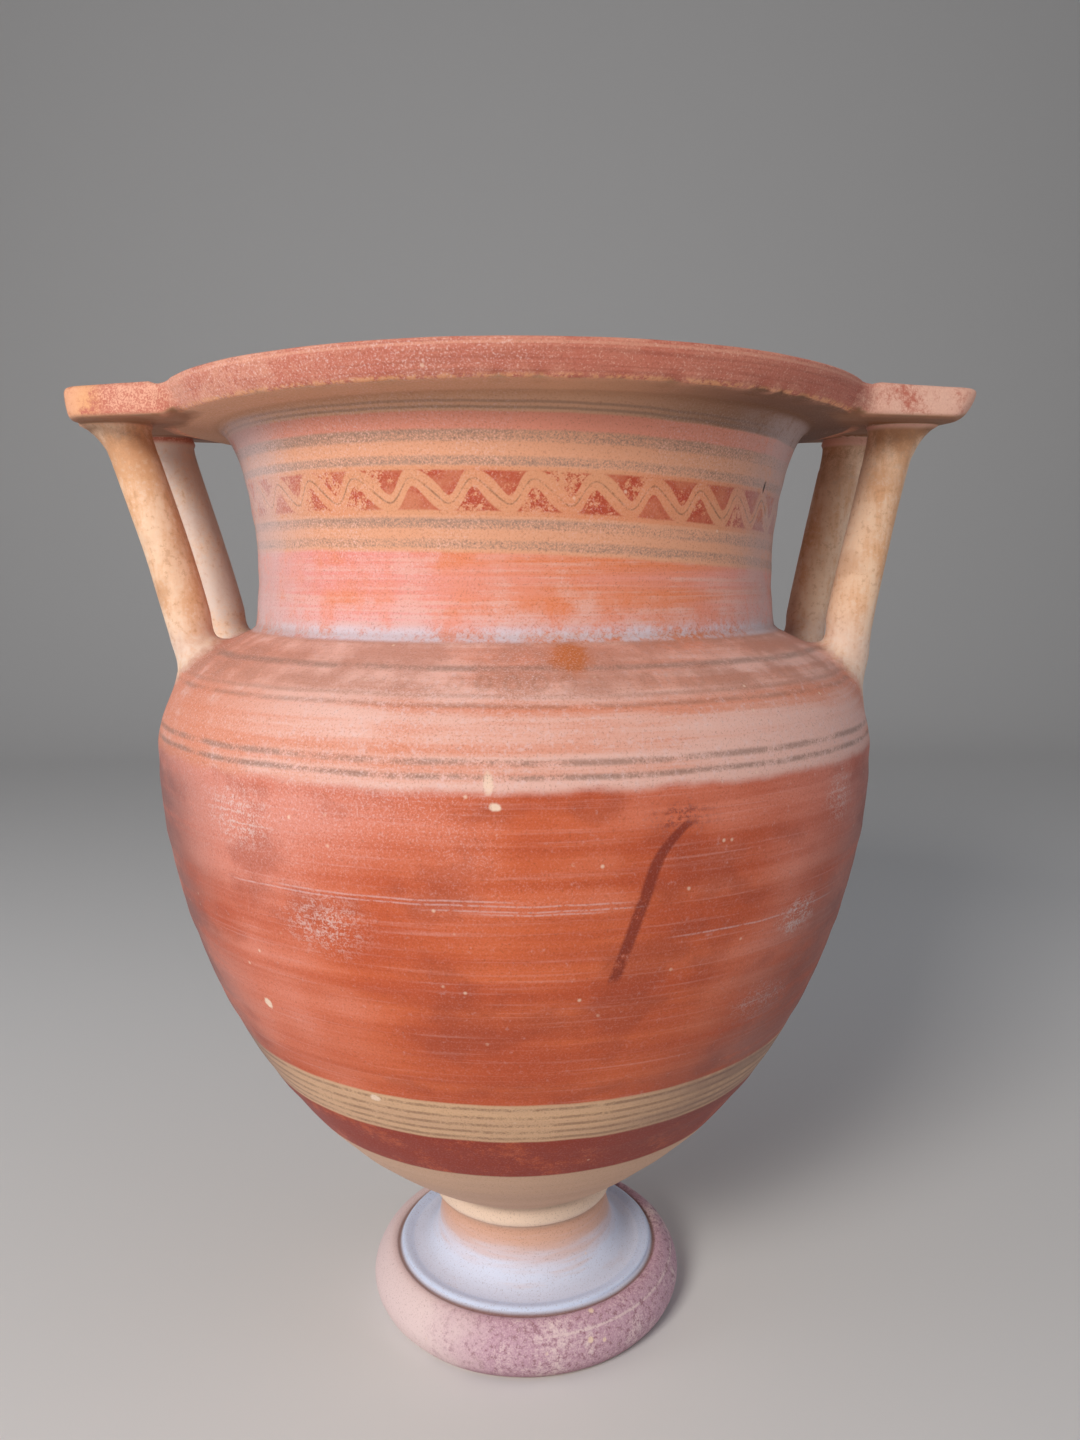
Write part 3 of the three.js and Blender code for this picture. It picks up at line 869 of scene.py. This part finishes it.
def neck(p, colour):
    """Blushing red below, then grey bands with the frieze between them, a little lower to the right; painted
    rim shadow to the right, painted sheen at the sides.
    """
    slope = p.add(p.mul(p.off, 0.02), p.mul(p.mul(p.off, p.off), 0.0001))
    slope = p.mul(slope, p.add(1.0, p.mul(p.sub(390.0, p.z), 0.8 / 37)))
    rung = p.add(p.level, p.mul(slope, p.rise(p.z, 318.0, 345.0)))
    red = p.mix(p.rise(p.blend((p.streak, 0.5), (p.broad, 0.5)), 0.4, 0.6), NECK_RED, NECK_ORANGE)
    red = p.lay(red, NECK_BLUSH, 0.7, p.fall(p.off, -60.0, 10.0), p.rise(p.middle, 0.36, 0.6))
    red = p.lay(red, SHOULDER_PEACH, 0.55, p.rise(p.blend((p.middle, 0.5), (p.hair, 0.5)), 0.46, 0.62))
    red = p.lay(red, HAZE, 0.5, p.fall(p.z, 322.0, 338.0), p.rise(p.worn, 0.38, 0.58))
    bands = p.mix(p.above(rung, NECK_BANDS_FROM, NECK_BANDS_SOFT), red, NECK_GAP)
    bands = p.mix(p.band(rung, *FRIEZE, 0.4), bands, frieze(p, rung))
    bands = p.mix(p.band(rung, *NECK_PINK_BAND, 0.5), bands, NECK_PINK)
    olive = p.lay(OLIVE, NECK_GAP, 0.6, p.streak)
    # Painted shadow of the rim's overhang, darker towards the right
    olive = p.lay(olive, RIM_SHADOW_RIGHT, 0.7, p.rise(p.off, 10.0, 90.0))
    bands = p.mix(p.above(rung, OLIVE_FROM, 0.5), bands, olive)
    granular = p.fall(p.blend((p.dust, 0.55), (p.streak, 0.45)), 0.4, 0.66)
    for bottom, top in GREY_BANDS:
        bands = p.lay(bands, GREY_BAND, 0.8, p.band(rung, bottom, top, 0.7), granular)
    for centre in OLIVE_LINES:
        bands = p.lay(bands, LINE_GREY, 0.5, p.line(rung, centre, 0.4, 0.3))
    bands = p.lay(bands, CHALK, 0.6, p.band(p.level, *NECK_CHALK, 2.0), p.rise(p.worn, 0.42, 0.58))
    # Painted sheen: pale grey-lilac towards both sides of the neck, broken by wear
    bands = p.lay(bands, NECK_SIDE_SHEEN, 0.75, p.rise(p.size(p.off), 70.0, 114.0), p.rise(p.worn, 0.32, 0.52))
    return p.mix(p.above(p.z, NECK_FOOT, NECK_FOOT_SOFT), colour, bands)


def rim(p, colour):
    """Dull red face and top, brown clay under the overhang with painted shadow to the right, bare chips along
    the lower edge.
    """
    red = p.lay(RIM_RED, RIM_WORN, 0.6, p.rise(p.blend((p.worn, 0.4), (p.dust, 0.6)), 0.54, 0.68))
    red = p.lay(red, RIM_DEEP, 0.5, p.rise(p.blend((p.hair, 0.7), (p.middle, 0.3)), 0.46, 0.62))
    red = p.lay(red, RIM_WORN, 0.6, p.fall(p.off, -110.0, -40.0), p.rise(p.worn, 0.36, 0.58))
    red = p.lay(red, CLAY_PALE, 0.3, p.rise(p.dust, 0.62, 0.72))
    upright = p.sub(p.z, p.mul(p.x, math.tan(RIM_TILT)))
    overhang = p.lay(UNDER_RIM, OLIVE, 0.6, p.streak)
    # Painted shadow under the overhang, darker towards the right
    overhang = p.lay(overhang, RIM_SHADOW_RIGHT, 0.8, p.rise(p.off, 10.0, 90.0))
    colour = p.mix(p.mul(p.rise(upright, 401.5, 404.0), p.rise(p.radius, 123.0, 127.0)), colour, overhang)
    slanted = p.both(p.rise(upright, 403.0, 404.0), p.rise(p.radius, 143.6, 145.0))
    face = p.math("MAXIMUM", slanted, p.rise(upright, 414.5, 416.0))
    colour = p.mix(face, colour, red)
    low_edge = p.both(p.rise(p.radius, 143.6, 144.6), p.band(upright, 403.5, 406.4, 0.6))
    colour = p.lay(colour, RIM_CHIP, 0.8, low_edge, p.rise(p.fine, 0.42, 0.56))
    groove = p.line(upright, GROOVE_LEVEL, 0.45, 0.3)
    return p.lay(colour, RIM_WORN, 0.5, groove, p.rise(p.radius, 147.0, 148.0))


def front_marks(p, colour, outer):
    """Stroke of dark paint, stain, chips, scuffs, the painted shade of a small pit, and scratches seen on the
    front.
    """
    hook = p.math("MAXIMUM", p.sub(p.z, STROKE_HOOK_FROM), 0.0)
    leaning = p.add(STROKE_ANGLE, p.mul(p.sub(p.z, STROKE_FOOT), STROKE_LEAN))
    middle = p.add(leaning, p.mul(p.mul(hook, hook), STROKE_HOOK))
    aside = p.mul(p.sub(p.degrees, middle), MM_PER_DEGREE)
    stroke = p.both(p.line(aside, 0.0, STROKE_HALF, 0.8), p.band(p.z, *STROKE_ENDS, 2.5))
    colour = p.lay(colour, STROKE, 0.85, stroke, p.fall(p.worn, 0.5, 0.66))
    ragged = p.mul(p.sub(p.grain(p.place, 260.0, 3.0), 0.5), MARK_RAGGED)
    scuffed = p.rise(p.blend((p.dust, 0.35), (p.fine, 0.4), (p.hair, 0.25)), 0.47, 0.58)
    for at, height, wide, tall, soft, tint, strength in FRONT_MARKS:
        across = p.mul(p.mul(p.sub(p.degrees, at), 1 / DEGREES), p.radius)
        away = p.length(p.mul(across, 1 / wide), p.mul(p.sub(p.z, height), 1 / tall))
        mark = p.both(p.below(p.add(away, ragged), 1.0, soft), outer)
        if soft > SCUFF_SOFTNESS:
            mark = p.both(mark, scuffed)
        colour = p.lay(colour, tint, strength, mark)
    for *centre, size in FOOT_DOTS:
        away = p.length(*[p.sub(a, b) for a, b in zip((p.x, p.y, p.z), centre)])
        colour = p.lay(colour, CLAY_PALE, 0.9, p.fall(away, size * 0.7, size * 1.3))
    for height, left, right in SCRATCHES:
        scratch = p.both(p.line(p.level, height, 0.3, 0.25), p.band(p.degrees, left, right, 3.0))
        colour = p.lay(colour, HAZE, 0.4, scratch, p.rise(p.fine, 0.34, 0.5))
    return colour


def dust_and_side_shade(p, colour):
    """Pale film on the shoulder, dark and pale specks, and painted shade at the sides of the belly."""
    clouded = p.blend((p.broad, 0.7), (p.middle, 0.2), (p.fall(p.off, -90.0, 60.0), 0.16))
    clouded = p.both(p.rise(clouded, 0.46, 0.64), p.rise(p.z, 215.0, 290.0))
    film = p.mul(p.rise(p.dust, 0.5, 0.7), p.add(0.1, p.mul(clouded, 0.4)))
    colour = p.mix(film, colour, HAZE)
    colour = p.lay(colour, DARK_SPECK, 0.35, p.fall(p.dust, 0.28, 0.46))
    colour = p.lay(colour, CLAY_PALE, 0.6, p.spots(p.place, 110.0, 0.07, 0.04), p.rise(p.middle, 0.5, 0.6))
    lower = p.mul(p.sub(SIDE_SHADE_BELOW, p.z), SIDE_SHADE_WIDENING)
    right = p.mul(p.rise(p.add(p.degrees, lower), *SIDE_SHADE_RIGHT), SIDE_SHADE_RIGHT_SHARE)
    sides = p.math("MAXIMUM", p.fall(p.degrees, *SIDE_SHADE_LEFT), right)
    zone = p.both(p.fall(p.z, 262.0, 284.0), p.rise(p.z, 100.0, 150.0))
    sides = p.both(sides, zone, p.fall(p.size(p.degrees), 85.0, 120.0))
    # Painted shade: grey-brown laid over both sides of the belly, broken by streaks
    return p.lay(colour, SIDE_SHADE, 0.75, sides, p.rise(p.blend((p.streak, 0.5), (p.worn, 0.5)), 0.3, 0.56))


def handles(p, colour):
    """Bare clay columns stained brown near the top and chalky at the foot, plates painted like the rim,
    painted shade under plates and in creases.
    """
    under, edge = p.attribute("under"), p.attribute("edge")
    upward = p.grain(p.stretched(p.place, 120.0, 16.0, 2.0), 1.0, 4.0, 0.65)
    clay = p.lay(CLAY, CLAY_ORANGE, 0.8, p.rise(p.blend((upward, 0.6), (p.middle, 0.4)), 0.42, 0.6))
    clay = p.lay(clay, CLAY_PALE, 0.5, p.rise(p.fine, 0.5, 0.66))
    clay = p.lay(clay, CLAY_BROWN, 0.35, p.fall(p.fine, 0.34, 0.46))
    clay = p.lay(clay, CLAY_BROWN, 0.8, p.rise(p.z, 370.0, 404.0), p.rise(p.worn, 0.4, 0.58))
    clay = p.lay(clay, CLAY_BROWN, 0.4, p.rise(p.grain(p.place, 30.0, 4.0), 0.54, 0.7))
    # Chalk on the rear left column, laid thick also as painted light that lifts a column standing in shade
    rear_left = p.both(p.rise(p.y, 0.0, 20.0), p.fall(p.off, -60.0, 0.0))
    clay = p.lay(clay, CLAY_CHALK, 0.7, rear_left, p.rise(p.worn, 0.3, 0.54))
    clay = p.lay(clay, CLAY_CHALK, 0.5, p.fall(p.z, 312.0, 336.0), p.rise(p.worn, 0.36, 0.56))
    top = p.mix(p.rise(p.blend((p.worn, 0.6), (p.dust, 0.4)), 0.47, 0.6), RIM_RED, RIM_WORN)
    top = p.lay(top, PLATE_PALE, 0.75, p.rise(p.off, 120.0, 150.0), p.rise(p.worn, 0.36, 0.52))
    left_corner = p.both(p.fall(p.off, -168.0, -158.0), p.fall(p.y, -40.0, -30.0))
    top = p.lay(top, RIM_CHIP, 0.8, left_corner, p.rise(p.worn, 0.4, 0.52))
    clay = p.mix(p.mul(p.rise(p.z, 402.5, 404.5), p.sub(1.0, under)), clay, top)
    # Painted shade: dark brown where the clay faces down under the plates
    clay = p.lay(clay, SHADE_BROWN, 0.8, p.rise(p.z, 396.0, 404.0), under)
    colour = p.mix(p.attribute("handle"), colour, clay)
    colour = p.lay(colour, RIM_WORN, 0.8, edge, p.rise(p.z, 400.0, 404.0), p.rise(p.worn, 0.4, 0.56))
    # Painted shade in creases and hollows
    return p.lay(colour, SHADE_BROWN, 0.35, p.attribute("crevice"))


def painted_clay():
    p = ClayPainter("painted_clay")
    inside = p.attribute("inside")
    colour = shoulder(p, belly(p))
    colour = foot(p, low_zones(p, colour))
    colour = rim(p, neck(p, colour))
    colour = front_marks(p, colour, p.sub(1.0, inside))
    colour = handles(p, dust_and_side_shade(p, colour))

    # Inside and underside: bare clay
    colour = p.mix(inside, colour, p.lay(INSIDE_CLAY, CLAY, 0.6, p.streak))
    colour = p.mix(p.fall(p.z, 0.4, 1.2), colour, CLAY)

    p.put(p.shader.inputs["Base Color"], colour)
    p.put(p.shader.inputs["Roughness"], p.add(0.55, p.mul(p.fine, 0.3)))
    p.put(p.shader.inputs["Specular IOR Level"], 0.35)
    p.put(p.shader.inputs["Sheen Weight"], 0.05)
    p.put(p.shader.inputs["Sheen Roughness"], 0.4)
    p.put(p.shader.inputs["Sheen Tint"], (0.86, 0.86, 1.0, 1.0))
    surface = p.nodes.new("ShaderNodeBump")
    p.put(surface.inputs["Strength"], 0.5)
    p.put(surface.inputs["Distance"], 0.6 * MM)
    p.put(surface.inputs["Height"], p.blend((p.hair, 0.35), (p.fine, 0.45), (p.dust, 0.2)))
    p.put(p.shader.inputs["Normal"], surface.outputs[0])
    return p.material


# Studio: half width, front edge, start, bend and top of the floor that runs up into a backdrop
STAGE_HALF_WIDTH, STAGE_FRONT, STAGE_FLAT, STAGE_BEND, STAGE_TOP = 3000.0, -2500.0, 1500.0, 700.0, 2600.0
STAGE_COLOUR, STAGE_ROUGHNESS = (0.74, 0.73, 0.72, 1), 0.9
SKY_COLOUR, SKY_STRENGTH = (0.93, 0.95, 1.0, 1), 0.17
WARM, NEUTRAL, COOL = (1.0, 0.95, 0.9), (1.0, 0.965, 0.92), (0.84, 0.89, 1.0)

# Soft lights: name, place and target in metres, size in metres, watts, tint
SOFTBOXES = [
    ("key", (-0.68, -1.24, 0.98), (0, 0, 0.25), (0.5, 0.5), 18.5, NEUTRAL),
    ("fill", (0.9, -1.2, 0.5), (0, 0, 0.2), (1.0, 1.0), 0.4, WARM),
    ("cool_left", (-1.25, -0.35, 0.7), (0, 0, 0.3), (0.7, 1.0), 3.2, COOL),
    ("cool_right", (1.25, -0.25, 0.7), (0, 0, 0.3), (0.7, 1.0), 2.4, COOL),
]

# Camera
CAMERA_AT = Vector((-15.35, -499.9, 345.0))
CAMERA_YAW, CAMERA_PITCH = math.radians(2.526), math.radians(7.708)
LENS, SENSOR_WIDTH = 27.5, 36.0
CLIP_START_M, CLIP_END_M = 0.01, 50.0


def stage():
    """Pale floor running up into a backdrop."""
    paint = bpy.data.materials.new("pale_stage")
    paint.use_nodes = True
    shader = paint.node_tree.nodes["Principled BSDF"]
    shader.inputs["Base Color"].default_value = STAGE_COLOUR
    shader.inputs["Roughness"].default_value = STAGE_ROUGHNESS
    bend = np.radians(np.linspace(0, 90, 16))
    sweep = [(STAGE_FRONT, 0.0)]
    sweep += [(STAGE_FLAT + STAGE_BEND * math.sin(b), STAGE_BEND * (1 - math.cos(b))) for b in bend]
    sweep.append((STAGE_FLAT + STAGE_BEND, STAGE_TOP))
    verts = [(side * STAGE_HALF_WIDTH, y, z) for y, z in sweep for side in (-1, 1)]
    faces = [(2 * i, 2 * i + 1, 2 * i + 3, 2 * i + 2) for i in range(len(sweep) - 1)]
    floor = mesh_object("floor", verts, faces)
    for polygon in floor.data.polygons:
        polygon.use_smooth = True
    floor.data.materials.append(paint)


def softbox(name, place, target, size, watts, tint):
    light = bpy.data.lights.new(name, "AREA")
    light.shape, light.size, light.size_y = "RECTANGLE", size[0], size[1]
    light.energy, light.color = watts, tint
    lamp = bpy.data.objects.new(name, light)
    lamp.location = place
    lamp.rotation_euler = (Vector(target) - Vector(place)).to_track_quat("-Z", "Y").to_euler()
    bpy.context.scene.collection.objects.link(lamp)


def studio():
    """The stage, a large soft key from the front left, cool side lights and a faint even sky."""
    stage()
    for box in SOFTBOXES:
        softbox(*box)
    world = bpy.data.worlds.new("studio")
    world.use_nodes = True
    sky = world.node_tree.nodes["Background"]
    sky.inputs["Color"].default_value = SKY_COLOUR
    sky.inputs["Strength"].default_value = SKY_STRENGTH
    bpy.context.scene.world = world
    bpy.context.scene.view_settings.view_transform = "Standard"


def photographer():
    """Camera where the photo was taken from: close by, a little above the shoulder, looking slightly down."""
    lens = bpy.data.cameras.new("camera")
    lens.lens, lens.sensor_width = LENS, SENSOR_WIDTH
    lens.clip_start, lens.clip_end = CLIP_START_M, CLIP_END_M
    camera = bpy.data.objects.new("camera", lens)
    camera.location = CAMERA_AT * MM
    level = math.cos(CAMERA_PITCH)
    ahead = Vector((math.sin(CAMERA_YAW) * level, math.cos(CAMERA_YAW) * level, -math.sin(CAMERA_PITCH)))
    camera.rotation_euler = ahead.to_track_quat("-Z", "Y").to_euler()
    bpy.context.scene.collection.objects.link(camera)
    bpy.context.scene.camera = camera


krater = build_krater()
krater.data.materials.clear()
krater.data.materials.append(painted_clay())
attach(krater, "root")
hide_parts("krater")
studio()
photographer()
